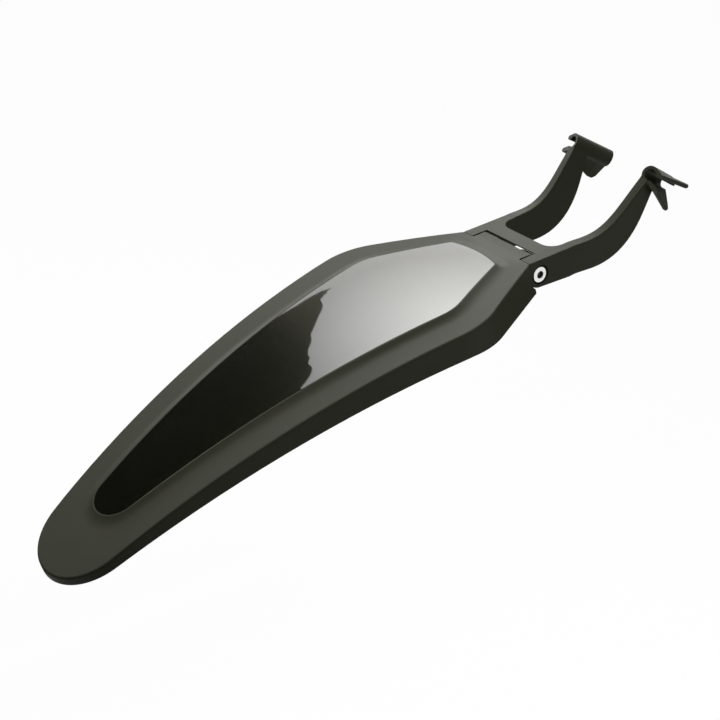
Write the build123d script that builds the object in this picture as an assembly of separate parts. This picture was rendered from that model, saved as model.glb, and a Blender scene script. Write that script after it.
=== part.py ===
from build123d import *
import os
from math import atan2, cos, degrees, radians, sin, sqrt, tan

# Clip-on rear mudguard that hangs from the two rails of a bicycle saddle.
# A moulded fork snaps onto the rails, and a long moulded blade tilts on two bolts at the fork's rear end.
# Frame: X forwards, Y left, Z up, in millimetres and degrees. The sizes below are set out from the middle
# of the tilt axis. The finished pieces move so that the origin is midway between the clips' rear ends.

# Blade: an arched shell with skirts folded down all round
blade_length = 332.2        # straight length of the chord, hinge end to tail
blade_arch = 22.4           # rise of the top face above that chord
blade_droop = 19.4          # fall of the chord towards the tail
blade_wall = 2.2
hinge_width = 62.6          # across the skirts at the hinge end
kink_width = 134.2          # across the two corners where the flare meets the sides, before rounding
kink_at = 62.3              # chord distance from the hinge end to those corners
kink_radius = 48.0
tail_radius = 32.8
tail_turn = 10.0            # angle of the sides to the middle line where they meet the round tail
skirt_hinge = 20.6          # skirt height at the hinge end, at the bend of its lower edge, and at the tail
skirt_bend = 17.0
skirt_tail = 5.2
skirt_bend_at = 74.0
skirt_bow = 12.3            # rise of the skirt's lower edge between the bend and the tail
skirt_lean = 15.3           # lean of the skirts' front ends, so they pass under the ears
rim_bevel = 1.2             # along the corner between the top face and the skirts

# Raised pad with a glossy panel let into it
pad_height = 2.6
pad_rim = 0.8               # strip of pad left round the panel
pad_flank = 7.5             # width of the hollow slope from the pad down to the top face
flank_steps = 3             # flat strips that make up that slope
panel_front = 16.2          # chord distance of the panel's front corners
panel_bulge = 2.9           # how far the panel's front edge bows towards the hinge
panel_front_width = 40.6
panel_corner = 4.0
panel_kink_width = 86.8
panel_kink_at = 65.0
panel_kink_radius = 30.0
panel_tip = 291.2
panel_tail_radius = 15.0
panel_tail_turn = 9.5
panel_thickness = 1.0
panel_proud = 0.1           # the panel stands this much above the pad
panel_gap = 0.05

# Hinge: two ears on the fork outside two knuckles on the blade
hinge_top = 9.7             # height of the top line above the tilt axis
ear_width = 62.0            # over the outer faces of the ears
ear_thickness = 8.5
ear_radius = 8.4            # the ears are rounded about the tilt axis, with a square upper corner
hinge_gap = 0.4             # between the ears and the blade's shoulders
side_gap = 0.15             # between each ear and its knuckle
knuckle_radius = 9.2
tongue_front = 0.3          # the blade's top skin reaches this far ahead of the tilt axis
tongue_gap = 1.4            # between each ear and the edge of that skin

# Fork: crossbar and two arms that bend up to the rail clips
bar_rear = 2.9
bar_front = 14.4
bar_bottom = 6.4
bar_knuckle_gap = 0.4       # between the knuckles and the hollow rear of the crossbar
throat_radius = 8.0
arm_rise = 4.7              # slope of the straight part of the arms, along the top and underneath
arm_low_rise = 1.7
arm_bend_radius = 38.0
arm_upper_turn = 47.0       # slope of the arm's upper and lower edges at the clip
arm_lower_turn = 64.0
arm_upper_corner = 51.2     # X of the corners of those edges, before rounding
arm_lower_corner = 67.0
arm_root = 24.0             # X where the straight ears end and the arms start
arm_root_thickness = 7.8
arm_thickness = 6.2
arm_spread = 5.8            # how far the arms' upper edges move out by the clips
arm_spread_curve = 1.2      # more than 1 holds that spread back near the hinge
arm_lean = 2.5              # how far their lower edges lie inside the upper ones
arm_blend = 3               # how soon the root's form gives way to the arm's
arm_stations = 6            # sections along each arm
arm_edge = 0.8              # bevel along the ears' and arms' edges

# Rail clips
rail_diameter = 7.0
rail_clearance = 0.1
clip_wall = 1.9
clip_length = 28.0
clip_x = 81.0               # middle of the bore at its rear end
clip_y = 35.0
clip_z = 45.6
clip_fall = 31.3            # slope of the rails going forwards
clip_toe = 18.0             # angle by which the rails close towards the front
mouth_top = 4.0             # the open mouth runs from this angle down to the next one
mouth_bottom = -80.0
lip_wall = 2.8
lip_bevel = 0.8             # bevel along each lip's edge
upper_lip_rear = (7.0, 1.0)     # outward and upward place of each lip's edge at its rear and front end
upper_lip_front = (16.0, 3.4)
lower_lip_rear = (6.4, -7.0)
lower_lip_front = (8.8, -16.4)
lip_start = 60.0            # place of the upper lip's root round the channel
lip_round = 4.0             # corner of each lip at its front end
bead_radius = 1.4
bead_length = 4.0

# Bolts and captive nuts
bolt_diameter = 6.0
bolt_length = 16.0
bolt_clearance = 0.1
head_diameter = 10.0
head_height = 4.0
head_bevel = 0.5
head_recess = 12.2          # diameter of the sink in the ear
head_sink = 4.2
key_size = 4.0
key_depth = 2.3
nut_size = 10.0
nut_height = 5.0
nut_gap = 0.1
seat_gap = 0.05             # between each bolt head and the floor of its sink

# Worked out from the above
ear_outer = ear_width / 2
ear_inner = ear_outer - ear_thickness
knuckle_outer = ear_inner - side_gap
rise = tan(radians(arm_rise))
bore_radius = rail_diameter / 2 + rail_clearance
shoulder = ear_radius + hinge_gap
root_inner = ear_outer - arm_root_thickness
bolt_seat = ear_outer - head_sink + seat_gap
knuckle_inner = bolt_seat - bolt_length
half_span = blade_length / 2
arch_radius = (half_span ** 2 + blade_arch ** 2) / (2 * blade_arch)
wide = 2 * kink_width
high = blade_length


def top_line(x):
    """Height of the fork's and the blade's common top line above the tilt axis."""
    return hinge_top + rise * x


def slab_y(face, inner, outer):
    """Extrudes a face drawn in X and Z from Y = inner to Y = outer."""
    return Pos(0, inner, 0) * extrude(face, outer - inner, dir=(0, 1, 0))


def side_face(points):
    """A polygon drawn in X and Z."""
    return make_face(Polyline([(x, 0, z) for x, z in points], close=True))


def rod_y(radius, inner, outer):
    """A cylinder about the tilt axis from Y = inner to Y = outer."""
    return Pos(0, (inner + outer) / 2, 0) * Rot(90, 0, 0) * Cylinder(radius, outer - inner)


def both_sides(shape):
    """The left-hand shape together with its mirror image."""
    return shape + mirror(shape, about=Plane.XZ)


def plan_outline(front, kink, kink_half, kink_round, tip, end_radius, end_turn):
    """Plan shape with a flared front, rounded corners, gently bowed sides and a round tail."""
    turn = radians(end_turn)
    tail_x = tip - end_radius * (1 - sin(turn))
    tail_half = end_radius * cos(turn)
    flare = Line(front @ 1, (kink, kink_half))
    side = TangentArc((tail_x, tail_half), (kink, kink_half), tangent=(-cos(turn), sin(turn)))
    tail = ThreePointArc((tail_x, tail_half), (tip, 0), (tail_x, -tail_half))
    half = flare + side
    face = make_face(Curve() + [front, half, tail, mirror(half, about=Plane.XZ)])
    corners = face.vertices().filter_by(lambda v: abs(v.X - kink) < 0.01)
    return fillet(corners, kink_round)


def under_arch(raised):
    """Everything under the blade's arched top face, moved up by the given height."""
    centre = Pos(half_span, 0, blade_arch - arch_radius)
    return centre * Rot(90, 0, 0) * Cylinder(arch_radius + raised, wide)


def arch_height(s):
    """Height of the arched top face over the chord at a distance from the hinge end."""
    return sqrt(arch_radius ** 2 - (s - half_span) ** 2) - arch_radius + blade_arch


def prism(face):
    """A plan face drawn on the chord, extruded far up and down."""
    return Pos(0, 0, -high / 2) * extrude(face, high)


def above_skirt():
    """Everything above the lower edge of the skirts, as a slab across the blade."""
    start = (0, arch_height(0) - skirt_hinge)
    bend = (skirt_bend_at, arch_height(skirt_bend_at) - skirt_bend)
    end = (blade_length, arch_height(blade_length) - skirt_tail)
    middle = ((bend[0] + end[0]) / 2, (bend[1] + end[1]) / 2 + skirt_bow)
    front_slope = (bend[1] - start[1]) / bend[0]
    overhang = kink_radius
    first = (-overhang, 0, start[1] - front_slope * overhang)
    bend3, middle3, end3 = [(x, 0, z) for x, z in (bend, middle, end)]
    past = (blade_length + overhang, 0, end[1])
    lower = Line(first, bend3) + ThreePointArc(bend3, middle3, end3) + Line(end3, past)
    lid = Polyline(past, (past[0], 0, high), (first[0], 0, high), first)
    face = make_face(lower + lid)
    return slab_y(face, -wide / 2, wide / 2)


def blade_frame():
    """The chord's own frame: along the blade, across it and up from the chord."""
    droop = radians(blade_droop)
    start = (-shoulder, 0, top_line(-shoulder))
    return Plane(start, x_dir=(-cos(droop), 0, -sin(droop)), z_dir=(-sin(droop), 0, cos(droop)))


def panel_face():
    """Plan outline of the glossy panel, with rounded front corners."""
    half = panel_front_width / 2
    left, right = (panel_front, half), (panel_front, -half)
    front = ThreePointArc(right, (panel_front - panel_bulge, 0), left)
    face = plan_outline(front, panel_kink_at, panel_kink_width / 2, panel_kink_radius,
                        panel_tip, panel_tail_radius, panel_tail_turn)
    corners = face.vertices().filter_by(lambda v: abs(v.X - panel_front) < 0.01)
    return fillet(corners, panel_corner)


def make_panel():
    """The glossy panel: a thin plate bent to the blade's arch."""
    top = pad_height + panel_proud
    body = prism(panel_face()) & under_arch(top)
    return blade_frame().location * (body - under_arch(top - panel_thickness))


def make_shell():
    """The blade's shell with its skirts and raised pad, in the chord's frame."""
    half = hinge_width / 2
    front = Line((0, -half), (0, half))
    plan = plan_outline(front, kink_at, kink_width / 2, kink_radius, blade_length, tail_radius, tail_turn)
    panel = panel_face()
    outer = prism(plan) & under_arch(0)
    rim = outer.faces().sort_by(Axis.Z)[-1].edges().filter_by(lambda e: e.center().X > 1)
    outer = chamfer(rim, rim_bevel)
    outer = (outer + make_pad(panel)) & above_skirt()
    hollow = prism(offset(plan, -blade_wall)) & under_arch(-blade_wall)
    hollow += prism(offset(panel, pad_rim - blade_wall)) & under_arch(pad_height - blade_wall)
    sink = prism(offset(panel, panel_gap)) - under_arch(pad_height + panel_proud - panel_thickness)
    return outer - hollow - sink


def make_pad(panel):
    """The raised pad round the panel, with a hollow flank of strips that grow flatter going outwards.

    Each strip is the bevelled crown of a plate of its own. It starts under the pad's edge and runs on a
    little way under the top face.
    """
    sunk = blade_wall / 8
    turn = 2 * atan2(pad_height, pad_flank)
    radius = pad_flank / sin(turn)
    pad = Part()
    for i in range(flank_steps):
        upper, lower = [turn * (1 - k / flank_steps) for k in (i, i + 1)]
        slope = tan((upper + lower) / 2)
        height = radius * (1 - cos(upper)) + slope * (pad_flank - radius * sin(upper))
        spread = (height + sunk) / slope
        plate = prism(offset(panel, pad_rim + spread)) & under_arch(height)
        crown = plate.faces().sort_by(Axis.Z)[-1]
        pad += chamfer(crown.edges(), spread, height + sunk, reference=crown)
    return pad - under_arch(-blade_wall / 2)


def make_blade():
    """Shell, hinge tongue and knuckles, cleared for the fork's ears."""
    shell = blade_frame().location * make_shell()
    back, front = -shoulder, tongue_front
    skin = [(back, top_line(back)), (front, top_line(front)),
            (front, top_line(front) - blade_wall), (back, top_line(back) - blade_wall)]
    web = [(back, top_line(back)), (front, top_line(front)), (front, 0), (back, 0)]
    tongue = ear_inner - tongue_gap
    knuckle = rod_y(knuckle_radius, knuckle_inner, knuckle_outer)
    knuckle += slab_y(side_face(web), knuckle_inner, tongue)
    blade = shell + slab_y(side_face(skin), -tongue, tongue) + both_sides(knuckle)
    reach = kink_width / 2
    lean = tan(radians(skirt_lean))
    level, foot = [back + lean * (top_line(back) + drop) for drop in (0, reach)]
    notch = [(back, reach), (back, 0), (level, 0), (foot, -reach), (2 * reach, -reach), (2 * reach, reach)]
    room = slab_y(side_face(notch), knuckle_outer, reach) + rod_y(shoulder, knuckle_outer, reach)
    hole = rod_y(bolt_diameter / 2 + bolt_clearance, 0, reach)
    hole += slab_y(hexagon(nut_size / 2 + nut_gap), 0, knuckle_inner + nut_height)
    return blade - both_sides(room) - both_sides(hole)


def hexagon(apothem):
    """A hexagon in X and Z about the tilt axis."""
    return Plane.XZ * RegularPolygon(apothem, 6, major_radius=False)


def low_line(x):
    """Height of the underside of the ears and of the arms' straight part."""
    slope = radians(arm_low_rise)
    return x * tan(slope) - ear_radius / cos(slope)


def make_hinge_end():
    """The fork's left half at the hinge: a rounded ear, half the crossbar and the rounded throat."""
    def on_ear(angle):
        return ear_radius * cos(radians(angle)), 0, ear_radius * sin(radians(angle))

    rear, under = on_ear(180), on_ear(arm_low_rise - 90)
    edges = Polyline(rear, (-ear_radius, 0, top_line(-ear_radius)), (arm_root, 0, top_line(arm_root)),
                     (arm_root, 0, low_line(arm_root)), under)
    edges += ThreePointArc(rear, on_ear(225), under)
    bar = side_face([(bar_rear, bar_bottom), (arm_root, bar_bottom),
                     (arm_root, top_line(arm_root)), (bar_rear, top_line(bar_rear))])
    bar = slab_y(bar, 0, ear_inner) - rod_y(knuckle_radius + bar_knuckle_gap, 0, ear_inner)
    throat = Pos(bar_front + high / 2, 0) * RectangleRounded(high, 2 * root_inner, throat_radius)
    end = slab_y(make_face(edges), ear_inner, ear_outer) + bar - prism(throat)
    return chamfer(soft_edges(end), arm_edge)


def soft_edges(end):
    """The outline of the ear's outer face and the throat's upper edge, apart from the arm's root."""
    outer = end.faces().sort_by(Axis.Y)[-1].edges()
    top = end.faces().filter_by(lambda f: f.normal_at().Z > 0.9).sort_by(SortBy.AREA)[-1].edges()
    throat = top.filter_by(lambda e: e.center().X > bar_rear and 0 < e.center().Y < ear_outer)
    return [e for e in outer + throat if e.center().X < arm_root - arm_edge]


def arm_edge_line(bottom, corner, turn):
    """One edge of an arm in side view: straight from its root, then bent up to the line of the rail."""
    fall, slope = tan(radians(clip_fall)), tan(radians(turn))
    z = bottom(corner)
    end = (clip_z + fall * clip_x - z + slope * corner) / (slope + fall)
    points = [(arm_root, 0, bottom(arm_root)), (corner, 0, z), (end, 0, z + slope * (end - corner))]
    return FilletPolyline(*points, radius=arm_bend_radius)


def arm_section(thickness, height):
    """Section of an arm: a strap on edge, bevelled on all corners but the lower inner one."""
    side, top = thickness / 2, height / 2
    points = [(-side, -top), (side - arm_edge, -top), (side, arm_edge - top), (side, top - arm_edge),
              (side - arm_edge, top), (arm_edge - side, top), (-side, top - arm_edge)]
    return make_face(Polyline(*points, close=True))


def make_arm(root):
    """The left arm, lofted from its root face to the clip as it bends, spreads, thins and leans."""
    upper = arm_edge_line(top_line, arm_upper_corner, arm_upper_turn)
    lower = arm_edge_line(low_line, arm_lower_corner, arm_lower_turn)
    middle = (root_inner + ear_outer) / 2
    sections = [root]
    for i in range(1, arm_stations):
        t = i / (arm_stations - 1)
        root_share = (1 - t) ** arm_blend
        out = middle + arm_spread * t ** arm_spread_curve
        high_point = upper @ t + Vector(0, out, 0)
        low_point = lower @ t + Vector(0, out - arm_lean * (1 - root_share), 0)
        up = high_point - low_point
        along = Vector(0, 1, 0).cross(up)
        place = Plane((high_point + low_point) / 2, x_dir=up.cross(along), z_dir=along)
        thickness = arm_thickness + (arm_root_thickness - arm_thickness) * root_share
        sections.append(place * arm_section(thickness, up.length))
    return loft(sections)


def clip_frame():
    """The left clip's frame: X outwards, Y up, Z forwards along the rail."""
    fall, toe = radians(clip_fall), radians(clip_toe)
    along = Vector(cos(toe) * cos(fall), -sin(toe), -cos(toe) * sin(fall))
    up = Vector(sin(fall), 0, cos(fall))
    return Plane((clip_x, clip_y, clip_z), x_dir=up.cross(along), z_dir=along)


def make_lip(root, rear, front):
    """A clip's lip: a flared plate with a bevelled edge and a rounded corner at its front end."""
    root, rear, front = Vector(root), Vector(rear), Vector(front)
    stations = [(0, 0)]
    for angle in (0, 45, 90):
        turn = radians(angle)
        stations.append((clip_length - lip_round * (1 - sin(turn)), lip_round * (1 - cos(turn))))
    plates = []
    for z, pull in stations:
        reach = rear + (front - rear) * (z / clip_length) - root
        side, tip = lip_wall / 2, reach.length - pull
        points = [(0, -side), (tip - lip_bevel, -side), (tip, lip_bevel - side),
                  (tip, side - lip_bevel), (tip - lip_bevel, side), (0, side)]
        place = Pos(root.X, root.Y, z) * Rot(0, 0, degrees(atan2(reach.Y, reach.X)))
        plates.append(place * make_face(Polyline(*points, close=True)))
    return loft(plates, ruled=True)


def make_clip():
    """The left rail clip: a channel with an open mouth, two lead-in lips and a retaining bead."""
    outer = bore_radius + clip_wall
    far = 4 * outer
    top, bottom = radians(mouth_top), radians(mouth_bottom)
    mouth = make_face(Polyline((0, 0), (far * cos(top), far * sin(top)), (far, -far),
                               (far * cos(bottom), far * sin(bottom)), close=True))
    clip = extrude(Circle(outer) - mouth, clip_length)
    seat = outer - lip_wall / 2
    start = radians(lip_start)
    clip += make_lip((seat * cos(start), seat * sin(start)), upper_lip_rear, upper_lip_front)
    clip += make_lip((0, -seat), lower_lip_rear, lower_lip_front)
    clip += Pos(*lower_lip_rear) * extrude(Circle(bead_radius), bead_length)
    return clip


def make_fork():
    """Ears, crossbar, arms and rail clips, moulded in one piece."""
    place = clip_frame().location
    end = make_hinge_end()
    half = end + make_arm(end.faces().sort_by(Axis.X)[-1]) + place * make_clip()
    half -= place * Pos(0, 0, clip_length / 2) * Cylinder(bore_radius, 2 * clip_length)
    half -= rod_y(bolt_diameter / 2 + bolt_clearance, ear_inner - 1, ear_outer)
    half -= rod_y(head_recess / 2, ear_outer - head_sink, ear_outer + 1)
    return both_sides(half)


def make_bolt():
    """The left bolt: a low round head with a bevelled rim and a hexagon socket."""
    head = Pos(0, 0, head_height / 2) * Cylinder(head_diameter / 2, head_height)
    head = chamfer(head.edges().sort_by(Axis.Z)[-1], head_bevel)
    socket = extrude(RegularPolygon(key_size / 2, 6, major_radius=False), key_depth)
    head -= Pos(0, 0, head_height - key_depth) * socket
    bolt = head + Pos(0, 0, -bolt_length / 2) * Cylinder(bolt_diameter / 2, bolt_length)
    return Pos(0, bolt_seat, 0) * Rot(-90, 0, 0) * bolt


def make_nut():
    """The left captive nut, seated on the floor of its pocket in the knuckle."""
    nut = slab_y(hexagon(nut_size / 2), knuckle_inner, knuckle_inner + nut_height)
    return nut - rod_y(bolt_diameter / 2 + seat_gap, 0, ear_inner)


os.makedirs("parts", exist_ok=True)
left_bolt = make_bolt()
left_nut = make_nut()
pieces = {
    "blade": make_blade(),
    "gloss_panel": make_panel(),
    "fork": make_fork(),
    "pivot_bolt_left": left_bolt,
    "pivot_bolt_right": mirror(left_bolt, about=Plane.XZ),
    "pivot_nut_left": left_nut,
    "pivot_nut_right": mirror(left_nut, about=Plane.XZ),
}
rails = Pos(-clip_x, 0, -clip_z)
for name, shape in pieces.items():
    export_step(rails * shape, f"parts/{name}.step")
    print(name, len(shape.solids()), "solid(s)", round(shape.volume), "mm3", "valid:", shape.is_valid)
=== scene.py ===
# %% [markdown]
# # A clip-on bicycle mudguard
# The solids come packed from the CAD model, already in place and in metres, so this lesson only
# adds finishes, turned and threaded fasteners, light and a camera. The frame is X forwards, Y left
# and Z up, with the origin midway between the two saddle-rail clips.

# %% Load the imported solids
from math import cos, degrees, pi, radians, sin, tan

import bmesh
import bpy
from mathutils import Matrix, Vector


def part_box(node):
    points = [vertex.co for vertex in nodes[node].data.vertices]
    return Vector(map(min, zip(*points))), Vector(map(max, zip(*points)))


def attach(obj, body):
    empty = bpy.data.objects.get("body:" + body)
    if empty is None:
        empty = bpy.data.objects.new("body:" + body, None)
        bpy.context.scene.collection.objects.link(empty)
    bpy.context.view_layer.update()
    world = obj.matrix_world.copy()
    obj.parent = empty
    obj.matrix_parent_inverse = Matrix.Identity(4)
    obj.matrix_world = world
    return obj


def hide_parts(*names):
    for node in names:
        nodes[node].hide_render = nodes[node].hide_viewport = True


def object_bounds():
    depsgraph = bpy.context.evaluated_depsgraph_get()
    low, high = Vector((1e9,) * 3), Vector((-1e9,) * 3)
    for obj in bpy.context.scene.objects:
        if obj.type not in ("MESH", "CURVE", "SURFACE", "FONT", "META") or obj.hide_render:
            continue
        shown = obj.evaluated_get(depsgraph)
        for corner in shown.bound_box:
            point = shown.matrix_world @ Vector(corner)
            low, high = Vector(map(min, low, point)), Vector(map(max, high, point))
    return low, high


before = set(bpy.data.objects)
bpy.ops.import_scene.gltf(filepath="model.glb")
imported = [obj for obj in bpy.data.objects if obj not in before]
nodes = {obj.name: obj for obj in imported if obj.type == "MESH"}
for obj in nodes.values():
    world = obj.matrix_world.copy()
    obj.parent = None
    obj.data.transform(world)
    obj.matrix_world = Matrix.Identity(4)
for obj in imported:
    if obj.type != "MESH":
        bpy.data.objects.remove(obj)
scene = bpy.context.scene
MM = 0.001
cad_box = [list(corner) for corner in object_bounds()]
print("nodes:", ", ".join(sorted(nodes)))
print("CAD box in mm:", [[round(v / MM, 1) for v in corner] for corner in cad_box])


# %% [markdown]
# ## Soft moulded edges
# A moulding has no knife edges: the bevels along the blade's rim, the fork's arms and the hollow
# flank of the pad should shade as rounded corners. A Bevel modifier would cut new faces into an
# uneven CAD mesh. Blending the normals is enough, because the bevels are already there.
#
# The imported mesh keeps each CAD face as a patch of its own, so the first thing to know is how large
# the patch round each triangle is. Triangles that share a point belong together.

# %% Measure the patches
def patch_areas(mesh):
    """The area of the connected patch that each face belongs to."""
    owner = list(range(len(mesh.vertices)))

    def root(point):
        while owner[point] != point:
            owner[point] = owner[owner[point]]
            point = owner[point]
        return point

    for face in mesh.polygons:
        for point in face.vertices[1:]:
            owner[root(point)] = root(face.vertices[0])
    total = {}
    for face in mesh.polygons:
        patch = root(face.vertices[0])
        total[patch] = total.get(patch, 0) + face.area
    return [total[root(face.vertices[0])] for face in mesh.polygons]


print("fork: patches of", len(set(patch_areas(nodes["fork"].data))), "sizes")

# %% [markdown]
# ## One normal for neighbours
# Where patches meet at less than a limit they share one normal, and the largest patch decides it.
# A flat face then stays flat, and the narrow bevel beside it takes the whole turn. One corner is
# left crisp: the pad's crown, which turns by about 32 degrees. No vertex moves.

# %% Blend the normals
SHARP = 60
CROWN = (28, 36)
NO_CRISP = (0, 0)


def soften(solid, crisp):
    """Shades a solid smoothly, apart from sharp edges and turns within the crisp range."""
    mesh = solid.data
    mesh.shade_smooth()
    areas = patch_areas(mesh)
    places = [tuple(round(v / MM, 3) for v in point.co) for point in mesh.vertices]
    meeting = {}
    for face in mesh.polygons:
        weight = face.area * areas[face.index] ** 2
        for point in face.vertices:
            meeting.setdefault(places[point], []).append((face.normal, weight))
    normals = []
    for face in mesh.polygons:
        for point in face.vertices:
            shared = Vector()
            for normal, weight in meeting[places[point]]:
                turn = degrees(normal.angle(face.normal, 0))
                if turn < SHARP and not crisp[0] < turn < crisp[1]:
                    shared = shared + normal * weight
            normals.append(shared.normalized())
    mesh.normals_split_custom_set(normals)
    print(solid.name, len(mesh.polygons), "faces softened")


for name, crisp in (("blade", CROWN), ("fork", NO_CRISP), ("gloss_panel", NO_CRISP)):
    soften(nodes[name], crisp)


# %% [markdown]
# ## Colour and nodes
# Colours are written as the hex values a paint chip would carry. Blender's shaders work in linear
# light, so one function converts them. A second small function adds any node with its settings,
# values and links, which keeps a material's recipe readable from top to bottom.

# %% Helpers for materials
def linear(hex_code):
    """An sRGB hex colour as linear RGBA."""
    parts = [int(hex_code[i:i + 2], 16) / 255 for i in (1, 3, 5)]
    return [v / 12.92 if v <= 0.04045 else ((v + 0.055) / 1.055) ** 2.4 for v in parts] + [1.0]


def put(tree, kind, inputs=None, **settings):
    """Adds a node: settings are its own properties, inputs are socket values or links."""
    made = tree.nodes.new(kind)
    for name, value in settings.items():
        setattr(made, name, value)
    for socket, value in (inputs or {}).items():
        if isinstance(value, bpy.types.NodeSocket):
            tree.links.new(value, made.inputs[socket])
        else:
            made.inputs[socket].default_value = value
    return made


def new_material(name):
    """An empty node material and its tree."""
    material = bpy.data.materials.new(name)
    material.use_nodes = True
    material.node_tree.nodes.clear()
    return material, material.node_tree


WHITE = (1, 1, 1, 1)
print("charcoal in linear light:", [round(v, 4) for v in linear("#2B2C20")])

# %% [markdown]
# ## Moulded polypropylene
# The blade and the fork are injection-moulded polypropylene, charcoal with a trace of olive. The
# mould is spark-eroded, so the skin is a fine even grain that scatters the light: satin, never
# mirror-like, with a weak reflection because the grain shades itself. A photographed grain would
# need an unwrapped mesh. A noise in the part's own space does not, and makes the bump here. The
# real grain is about 0.15 mm across, too fine to show, so it is drawn at 0.5 mm. A second, slow
# noise lets tone and gloss drift a little, as moulded resin does.

# %% Grained polypropylene
GRAIN = 0.5 * MM
GRAIN_HEIGHT = 0.05 * MM
DRIFT = 45 * MM


def grained_polypropylene():
    """Satin charcoal plastic with a moulded grain."""
    material, tree = new_material("grained_polypropylene")
    place = put(tree, "ShaderNodeTexCoord").outputs["Object"]
    grain = put(tree, "ShaderNodeTexNoise", {"Vector": place, "Scale": 1 / GRAIN, "Detail": 2.0})
    drift = put(tree, "ShaderNodeTexNoise", {"Vector": place, "Scale": 1 / DRIFT, "Detail": 3.0})
    tone = put(tree, "ShaderNodeValToRGB", {"Fac": drift.outputs["Fac"]})
    dark, light = tone.color_ramp.elements
    dark.position, dark.color = 0.3, linear("#292A1E")
    light.position, light.color = 0.7, linear("#2D2E22")
    rough = put(tree, "ShaderNodeMapRange", {
        "Value": drift.outputs["Fac"], "To Min": 0.5, "To Max": 0.56})
    bump = put(tree, "ShaderNodeBump", {
        "Height": grain.outputs["Fac"], "Strength": 0.25, "Distance": GRAIN_HEIGHT})
    skin = put(tree, "ShaderNodeBsdfPrincipled", {
        "Base Color": tone.outputs["Color"], "Roughness": rough.outputs["Result"],
        "Normal": bump.outputs["Normal"], "IOR": 1.49, "Specular IOR Level": 0.12})
    put(tree, "ShaderNodeOutputMaterial", {"Surface": skin.outputs["BSDF"]})
    return material


polypropylene = grained_polypropylene()
print("made", polypropylene.name)

# %% [markdown]
# ## Black metal-flake acrylic
# The inset panel is clear-coated acrylic over black paint with fine metal flakes. The coat mirrors
# the studio sharply. Under it the flakes, each tilted its own way, scatter a faint glow round every
# bright reflection, which plain glossy black would lack. So the base is a very dark metal with a
# cell-by-cell bump, and the coat is nearly smooth, with a slow ripple from moulding. Real flakes
# are about 0.05 mm across and are drawn at 0.4 mm, to show.

# %% Flaked acrylic
FLAKE = 0.4 * MM
FLAKE_HEIGHT = 0.1 * MM
RIPPLE = 60 * MM
RIPPLE_HEIGHT = 0.05 * MM


def flaked_acrylic():
    """Clear coat over black paint with metal flakes."""
    material, tree = new_material("flaked_black_acrylic")
    place = put(tree, "ShaderNodeTexCoord").outputs["Object"]
    flake = put(tree, "ShaderNodeTexVoronoi", {"Vector": place, "Scale": 1 / FLAKE})
    split = put(tree, "ShaderNodeSeparateColor", {"Color": flake.outputs["Color"]})
    tone = put(tree, "ShaderNodeValToRGB", {"Fac": split.outputs["Red"]})
    dark, light = tone.color_ramp.elements
    dark.position, dark.color = 0.5, linear("#060702")
    light.position, light.color = 1.0, linear("#0D0E07")
    tilt = put(tree, "ShaderNodeBump", {
        "Height": split.outputs["Green"], "Strength": 0.2, "Distance": FLAKE_HEIGHT})
    ripple = put(tree, "ShaderNodeTexNoise", {"Vector": place, "Scale": 1 / RIPPLE, "Detail": 1.0})
    wave = put(tree, "ShaderNodeBump", {
        "Height": ripple.outputs["Fac"], "Strength": 0.2, "Distance": RIPPLE_HEIGHT})
    skin = put(tree, "ShaderNodeBsdfPrincipled", {
        "Base Color": tone.outputs["Color"], "Roughness": 0.19, "Metallic": 1.0,
        "Normal": tilt.outputs["Normal"], "Specular Tint": (0.81, 0.8, 0.76, 1.0),
        "Coat Weight": 1.0, "Coat Roughness": 0.02, "Coat IOR": 1.49,
        "Coat Normal": wave.outputs["Normal"]})
    put(tree, "ShaderNodeOutputMaterial", {"Surface": skin.outputs["BSDF"]})
    return material


acrylic = flaked_acrylic()
print("made", acrylic.name)

# %% [markdown]
# ## Zinc-plated steel
# The fasteners are cold-formed steel with bright zinc: a pale, slightly cloudy metal. One even grey
# would look like painted plastic or like a mirror, so a noise about 2 mm across moves tone and
# roughness. The faces inside a key socket get a dark, dull version of the same recipe. This is
# painted shade, standing in for the shade that falls deep in the socket.

# %% Zinc, and a darker steel as painted socket shade
CLOUD = 2 * MM


def plated_steel(name, dark, light, smooth, dull):
    """Cloudy metal between two colours and two roughnesses."""
    material, tree = new_material(name)
    place = put(tree, "ShaderNodeTexCoord").outputs["Object"]
    cloud = put(tree, "ShaderNodeTexNoise", {"Vector": place, "Scale": 1 / CLOUD, "Detail": 3.0})
    tone = put(tree, "ShaderNodeValToRGB", {"Fac": cloud.outputs["Fac"]})
    tone.color_ramp.elements[0].color = linear(dark)
    tone.color_ramp.elements[1].color = linear(light)
    rough = put(tree, "ShaderNodeMapRange", {
        "Value": cloud.outputs["Fac"], "To Min": smooth, "To Max": dull})
    skin = put(tree, "ShaderNodeBsdfPrincipled", {
        "Base Color": tone.outputs["Color"], "Roughness": rough.outputs["Result"], "Metallic": 1.0})
    put(tree, "ShaderNodeOutputMaterial", {"Surface": skin.outputs["BSDF"]})
    return material


zinc = plated_steel("zinc_plated_steel", "#DADBD8", "#F8F8F6", smooth=0.18, dull=0.32)
# The second steel is darker only as painted shade for the inside of the key socket.
socket_shade_steel = plated_steel("steel_with_painted_socket_shade", "#50504C", "#6C6C66", smooth=0.4, dull=0.55)
print("made", zinc.name, "and", socket_shade_steel.name)

# %% [markdown]
# ## Dressing the solids
# The moulded parts need no new shape: their solids are the real thing, bevels included. Each packed
# node keeps its mesh and its place, and only its material slot changes.

# %% Give every node its finish
finishes = {"blade": polypropylene, "fork": polypropylene, "gloss_panel": acrylic}
for name, solid in nodes.items():
    solid.data.materials.clear()
    solid.data.materials.append(finishes.get(name, zinc))
    print(name, "wears", solid.data.materials[0].name)


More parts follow.
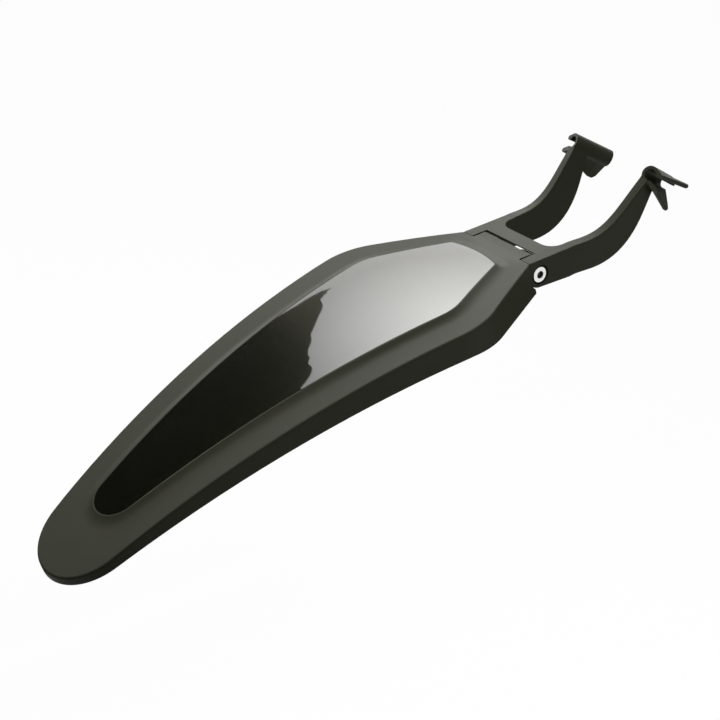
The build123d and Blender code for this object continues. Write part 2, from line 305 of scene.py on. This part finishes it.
# %% [markdown]
# ## Turned fasteners
# A bolt and a nut are shapes of rings: go round the axis at each height, and the radius says
# whether that ring is a circle, a hexagon or a turn of thread. A Screw modifier could wind the
# thread, but not the head. One function that skins a list of rings gives the thread, the rolled
# rim of the head and the key socket from the same few lines.

# %% Skin a list of rings
TURN = 48
CREASE = 35


def ringed(name, rings, hollow=False):
    """A closed mesh through rings in mm. Each ring gives the radius and height at an angle."""
    shape = bmesh.new()
    loops = []
    for ring in rings:
        loop = []
        for i in range(TURN):
            angle = 2 * pi * i / TURN
            radius, height = ring(angle)
            place = Vector((radius * cos(angle), radius * sin(angle), height))
            loop.append(shape.verts.new(place * MM))
        loops.append(loop)
    following = loops[1:] + loops[:1] if hollow else loops[1:]
    for lower, upper in zip(loops, following):
        for i in range(TURN):
            j = (i + 1) % TURN
            shape.faces.new((lower[i], lower[j], upper[j], upper[i]))
    if not hollow:
        shape.faces.new(loops[0][::-1])
        shape.faces.new(loops[-1])
    bmesh.ops.recalc_face_normals(shape, faces=shape.faces)
    mesh = bpy.data.meshes.new(name)
    shape.to_mesh(mesh)
    shape.free()
    mesh.shade_smooth()
    mesh.set_sharp_from_angle(angle=radians(CREASE))
    piece = bpy.data.objects.new(name, mesh)
    scene.collection.objects.link(piece)
    return piece


def circle(radius, height):
    """A plain ring."""
    return lambda angle: (radius, height)


def hexagon(apothem, angle):
    """Radius of a hexagon with a corner at angle 0."""
    return apothem / cos(angle % (pi / 3) - pi / 6)


print(TURN, "points to a ring")

# %% [markdown]
# ## Thread
# The bolts have a 6 mm coarse thread, rolled between dies. A ridge whose place follows the angle
# climbs one pitch in each turn. It has straight flanks, cut off flat at root and crest, and it
# fades in over the first turn, as a rolled thread does.

# %% Rings of thread
SHANK = 3.0
PITCH = 1.0
THREAD_DEPTH = 0.55
THREADED = 11.0
STEPS = 8
FLANK_SLOPE = 1.6
ROOT_FLAT = 0.3


def thread(height):
    """A ring of thread at a height."""
    depth = THREAD_DEPTH * min(1, height / PITCH)

    def ring(angle):
        climb = (height / PITCH - angle / (2 * pi)) % 1
        ridge = min(1, max(0, FLANK_SLOPE * (1 - abs(2 * climb - 1)) - ROOT_FLAT))
        return SHANK - THREAD_DEPTH + depth * ridge, height

    return ring


shank_rings = [circle(SHANK - 2 * THREAD_DEPTH, 0)]
shank_rings += [thread(PITCH / STEPS * k) for k in range(1, int(THREADED / PITCH * STEPS))]
print(len(shank_rings), "rings of thread")

# %% [markdown]
# ## Pivot bolts
# Each pivot is a low socket-head bolt. The imported rod gives its axis, length and head. The head
# rises from a small edge to a rolled rim, and the key socket goes down through a flared mouth and
# hexagonal walls to a drilled point. A Boolean could cut the socket, but rings that turn back down
# make it in the same skin. The faces inside the socket take a darker steel as painted shade.

# %% Head with a key socket
HEAD = 4.0
HEAD_EDGE = 0.2
RIM = 0.6
RIM_STEPS = 3
KEY_RADIUS = 2.0
KEY_DEPTH = 2.3
MOUTH, MOUTH_DEPTH = 1.2, 0.3
SOCKET_FLOOR = 0.9
POINT_RADIUS, POINT_DEPTH = 0.1, 0.6
# How far across, and how far below the top of the head, the painted shade inside the key socket
# reaches.
SOCKET_SHADE_REACH, SOCKET_SHADE_TOP = 1.16, 0.05


def head(neck, length, radius):
    """Rings from the neck over the rim and down into the key socket."""
    bottom = length - KEY_DEPTH
    rings = [circle(radius - HEAD_EDGE, neck), circle(radius, neck + HEAD_EDGE)]
    for k in range(RIM_STEPS + 1):
        turn = pi / 2 * k / RIM_STEPS
        rings.append(circle(radius - RIM * (1 - cos(turn)), length - RIM * (1 - sin(turn))))
    return rings + [
        circle(KEY_RADIUS * MOUTH, length),
        lambda angle: (hexagon(KEY_RADIUS, angle), length - MOUTH_DEPTH),
        lambda angle: (hexagon(KEY_RADIUS, angle), bottom),
        circle(KEY_RADIUS * SOCKET_FLOOR, bottom),
        circle(POINT_RADIUS, bottom - POINT_DEPTH)]


def bolt(name, node):
    """A threaded bolt in the place of a packed rod."""
    low, high = [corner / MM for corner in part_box(node)]
    length = high.y - low.y
    neck = length - HEAD
    rings = shank_rings + [circle(SHANK, THREADED), circle(SHANK, neck)]
    piece = ringed(name, rings + head(neck, length, (high.x - low.x) / 2))
    piece.data.materials.append(zinc)
    # Faces deep inside the key socket get the darker steel: painted shade.
    piece.data.materials.append(socket_shade_steel)
    for face in piece.data.polygons:
        spot = face.center / MM
        deep = neck < spot.z < length - SOCKET_SHADE_TOP
        face.material_index = 1 if deep and spot.xy.length < KEY_RADIUS * SOCKET_SHADE_REACH else 0
    outward = 1 if low.y > 0 else -1
    piece.rotation_euler = (-outward * pi / 2, 0, 0)
    inner_end = min(low.y, high.y, key=abs)
    piece.location = Vector(((low.x + high.x) / 2, inner_end, (low.z + high.z) / 2)) * MM
    return piece


for side in ("left", "right"):
    node = f"pivot_bolt_{side}"
    piece = bolt(f"threaded_bolt_{side}", node)
    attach(piece, "blade")
    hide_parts(node)
    print(piece.name, len(piece.data.polygons), "faces")

# %% [markdown]
# ## Captive nuts
# The nuts are pressed hexagons whose corners are turned off at 30 degrees. On a hexagon that cone
# meets the flats in curved lines. A Boolean with a cone would cut them, but they come by themselves
# when the ring's height follows its own radius.

# %% Chamfered nuts
BORE_RADIUS = 3.05
BORE_EDGE = 0.4
FACE_SHARE = 0.95
NUT_CHAMFER = 30


def nut(name, node):
    """A chamfered nut with an open bore in the place of a packed one."""
    low, high = [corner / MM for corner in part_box(node)]
    apothem, thick = (high.z - low.z) / 2, high.y - low.y
    face_radius, mouth = apothem * FACE_SHARE, BORE_RADIUS + BORE_EDGE

    def flat(angle, height, sign):
        radius = hexagon(apothem, angle)
        return radius, height + sign * (radius - face_radius) * tan(radians(NUT_CHAMFER))

    rings = [
        circle(BORE_RADIUS, BORE_EDGE), circle(mouth, 0), circle(face_radius, 0),
        lambda angle: flat(angle, 0, 1), lambda angle: flat(angle, thick, -1),
        circle(face_radius, thick), circle(mouth, thick), circle(BORE_RADIUS, thick - BORE_EDGE)]
    piece = ringed(name, rings, hollow=True)
    piece.data.materials.append(zinc)
    piece.rotation_euler = (-pi / 2, 0, 0)
    piece.location = Vector(((low.x + high.x) / 2, low.y, (low.z + high.z) / 2)) * MM
    return piece


for side in ("left", "right"):
    node = f"pivot_nut_{side}"
    piece = nut(f"captive_nut_{side}", node)
    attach(piece, "blade")
    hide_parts(node)
    print(piece.name, len(piece.data.polygons), "faces")


# %% [markdown]
# ## The floor
# A pale floor lies well below the part, which hangs from its clips. It could be lit until it is
# white, but then the part would be lit too strongly. Instead it shows white to the camera and in
# reflections, and keeps a share of its own shading, and so the part's shadow.

# %% Pale floor
FLOOR_SIZE = 14
FLOOR_DROP = 0.42
FLOOR_GLOW = 0.95


def shown(tree, share):
    """A share for rays from the camera, a reflection or a see-through surface, else nothing."""
    path = put(tree, "ShaderNodeLightPath")
    seen = put(tree, "ShaderNodeMath", {
        0: path.outputs["Is Camera Ray"], 1: path.outputs["Is Glossy Ray"]}, operation="MAXIMUM")
    seen = put(tree, "ShaderNodeMath", {
        0: seen.outputs["Value"], 1: path.outputs["Is Transmission Ray"]}, operation="MAXIMUM")
    part = put(tree, "ShaderNodeMath", {0: seen.outputs["Value"], 1: share}, operation="MULTIPLY")
    return part.outputs["Value"]


floor_height = cad_box[0][2] - FLOOR_DROP
bpy.ops.mesh.primitive_plane_add(size=FLOOR_SIZE, location=(0, 0, floor_height))
floor = bpy.context.object
floor.name = "studio_floor"
floor_paint, tree = new_material("matt_white_floor_paint")
matt = put(tree, "ShaderNodeBsdfDiffuse", {"Color": linear("#F2F2F0")})
glow = put(tree, "ShaderNodeEmission", {"Color": WHITE, "Strength": 1.0})
mix = put(tree, "ShaderNodeMixShader", {
    "Fac": shown(tree, FLOOR_GLOW), 1: matt.outputs["BSDF"], 2: glow.outputs["Emission"]})
put(tree, "ShaderNodeOutputMaterial", {"Surface": mix.outputs["Shader"]})
floor.data.materials.append(floor_paint)
print("floor at", round(floor_height, 3), "m")

# %% [markdown]
# ## The air
# The world beyond the floor is white to the eye in the same way, and gives less than half of that
# as soft light from all round. A picture of a room could do it, but an even white has no pattern
# for the glossy panel to show.

# %% Soft white world
AIR_LIGHT = 0.45

world = bpy.data.worlds.new("studio_air")
scene.world = world
world.use_nodes = True
tree = world.node_tree
tree.nodes.clear()
soft = put(tree, "ShaderNodeBackground", {"Color": WHITE, "Strength": AIR_LIGHT})
white = put(tree, "ShaderNodeBackground", {"Color": WHITE, "Strength": 1.0})
mix = put(tree, "ShaderNodeMixShader", {
    "Fac": shown(tree, 1.0), 1: soft.outputs["Background"], 2: white.outputs["Background"]})
put(tree, "ShaderNodeOutputWorld", {"Surface": mix.outputs["Shader"]})
print("soft light of", AIR_LIGHT)


# %% [markdown]
# ## Lamps
# Three broad lamps, which the camera does not see, give the tops their sheen: one overhead, one
# over the tail and one beyond the hinge. A bright sky could do it too, but lamps let the light fade
# along the blade.

# %% Three lamps
def area_lamp(name, place, aim, size, watts):
    """A rectangular lamp in metres, turned towards a point."""
    data = bpy.data.lights.new(name, "AREA")
    data.shape, data.size, data.size_y, data.energy = "RECTANGLE", size[0], size[1], watts
    lamp = bpy.data.objects.new(name, data)
    scene.collection.objects.link(lamp)
    lamp.location = place
    lamp.visible_camera = False
    lamp.rotation_euler = (Vector(aim) - Vector(place)).to_track_quat("-Z", "Y").to_euler()
    print(name, watts, "W")


area_lamp("overhead_lamp", place=(-0.1, -0.1, 1.3), aim=(-0.1, -0.1, 0), size=(1.2, 1.0), watts=3.0)
area_lamp("tail_lamp", place=(-0.75, 0.7, 0.85), aim=(-0.35, 0, -0.1), size=(0.8, 0.6), watts=7.6)
area_lamp("hinge_lamp", place=(0.55, 0.55, 0.35), aim=(-0.08, 0, -0.04), size=(0.5, 0.5), watts=4.0)

# %% [markdown]
# ## Lit cloth and velvet
# A glossy panel shows what stands round it, so part of the studio is built: diffusion cloth lit
# from behind and black velvet. The cloth is brightest in one spot and again higher up, where the
# bulbs are. A gradient ball and a ramp by height give that, with places in mm.

# %% Lit cloth and velvet
FAR = 500
BRIGHT_SPOT = (138, FAR, 475)
SPOT_REACH = (315, 1000, 151)
CLOTH_GLOW = (3.5, 9.4)
BULBS = (460, 560)
BULB_GLOW = 3.0

lit, tree = new_material("lit_diffusion_cloth")
place = put(tree, "ShaderNodeTexCoord").outputs["Object"]
spot = put(tree, "ShaderNodeMapping", {
    "Vector": place, "Location": [v * MM for v in BRIGHT_SPOT],
    "Scale": [v * MM for v in SPOT_REACH]}, vector_type="TEXTURE")
fade = put(tree, "ShaderNodeTexGradient", {
    "Vector": spot.outputs["Vector"]}, gradient_type="SPHERICAL")
spot_power = put(tree, "ShaderNodeMapRange", {
    "Value": fade.outputs["Fac"], "To Min": CLOTH_GLOW[0], "To Max": CLOTH_GLOW[1]})
height = put(tree, "ShaderNodeSeparateXYZ", {"Vector": place})
bulb_power = put(tree, "ShaderNodeMapRange", {
    "Value": height.outputs["Z"], "From Min": BULBS[0] * MM, "From Max": BULBS[1] * MM,
    "To Max": BULB_GLOW})
power = put(tree, "ShaderNodeMath", {
    0: spot_power.outputs["Result"], 1: bulb_power.outputs["Result"]}, operation="ADD")
glow = put(tree, "ShaderNodeEmission", {"Color": WHITE, "Strength": power.outputs["Value"]})
put(tree, "ShaderNodeOutputMaterial", {"Surface": glow.outputs["Emission"]})

velvet, tree = new_material("black_velvet")
matt = put(tree, "ShaderNodeBsdfDiffuse", {"Color": linear("#080808")})
put(tree, "ShaderNodeOutputMaterial", {"Surface": matt.outputs["BSDF"]})
print("made", lit.name, "and", velvet.name)

# %% [markdown]
# ## Softbox on the far side
# The softbox stands on the far side, and its torn lower edge draws the ragged line on the panel. A
# dark flag behind it makes the tail half of the panel black. A strip of the same cloth hangs lower,
# where the panel does not mirror it and the satin band beyond the panel does. Lamps could stand
# here, but a card takes any outline. The outlines run along X and Z, in mm.

# %% Softbox, strip and far flag
BEHIND = 10


def card(name, corners, material):
    """A flat board through corners in mm, seen only in reflections."""
    mesh = bpy.data.meshes.new(name)
    mesh.from_pydata([Vector(corner) * MM for corner in corners], [], [range(len(corners))])
    board = bpy.data.objects.new(name, mesh)
    scene.collection.objects.link(board)
    board.data.materials.append(material)
    board.visible_camera = False
    board.visible_shadow = False
    print(name, "has", len(corners), "corners")


hem = [
    (700, -44), (-98, 300), (-98, 334.8), (-60, 335), (-36, 333.5), (-16, 332.6), (2, 334.7)]
torn_edge = [
    (-9, 336), (-10, 338), (-14, 338.5), (-27, 342.5), (-30.5, 350), (-38, 355.5), (-51, 361),
    (-70, 370), (-85, 376), (-91, 382), (-97, 385.5), (-110, 390.5), (-118, 396), (-119, 399.5),
    (-131, 405), (-131, 410.5), (-135, 414), (-144, 417.5), (-160, 420.5), (-176, 422)]
frame_edge = [(-190, 445), (-420, 460), (-420, 680), (700, 680)]
low_strip = [(-98, 285), (-130, 230), (-330, 205), (-420, 60), (110, -150), (110, 195)]
far_flag = [(-700, 200), (-700, 690), (710, 690), (710, -400), (100, -400), (0, 150)]
card("softbox", [(x, FAR, z) for x, z in hem + torn_edge + frame_edge], lit)
card("low_strip", [(x, FAR, z) for x, z in low_strip], lit)
card("far_flag", [(x, FAR + BEHIND, z) for x, z in far_flag], velvet)

# %% [markdown]
# ## Low flags
# Satin skirts that face away from the lamps would still pick up the white floor and turn pale. A
# dark floor would stop that, but the picture needs a white one. So black boards stand below the
# part, one on each side, as a photographer would place them out of sight.

# %% Flags round the floor
FRONT, NEAR, TAIL = 600, -350, -800
FLAG_LOW, FLAG_HIGH = -540, -60


def low_flag(name, start, end):
    """An upright velvet board below the part, between two places on the floor plan in mm."""
    corners = [(*start, FLAG_LOW), (*start, FLAG_HIGH), (*end, FLAG_HIGH), (*end, FLAG_LOW)]
    card(name, corners, velvet)


low_flag("front_flag", start=(FRONT, NEAR), end=(FRONT, 300))
low_flag("near_flag", start=(TAIL, NEAR), end=(-280, NEAR))
low_flag("tail_flag", start=(TAIL, NEAR), end=(TAIL, FAR))
low_flag("far_low_flag", start=(TAIL, FAR + BEHIND), end=(100, FAR + BEHIND))

# %% [markdown]
# ## Camera
# The camera looks from behind and the right, a little down, with a long lens, and the aim point is
# the middle of the picture. A viewing direction and a distance say this more plainly than a place
# and three angles.

# %% Camera
AIM = Vector((-190.7, 0, -81.6)) * MM
LOOK = Vector((0.5336, 0.7193, -0.4448)).normalized()
DISTANCE = 1.279
LENS, SENSOR = 110, 36

camera_data = bpy.data.cameras.new("studio_camera")
camera_data.lens, camera_data.sensor_width = LENS, SENSOR
camera = bpy.data.objects.new("studio_camera", camera_data)
scene.collection.objects.link(camera)
camera.location = AIM - LOOK * DISTANCE
camera.rotation_euler = LOOK.to_track_quat("-Z", "Y").to_euler()
scene.camera = camera
scene.view_settings.view_transform = "Standard"
print("camera at", [round(v, 3) for v in camera.location])
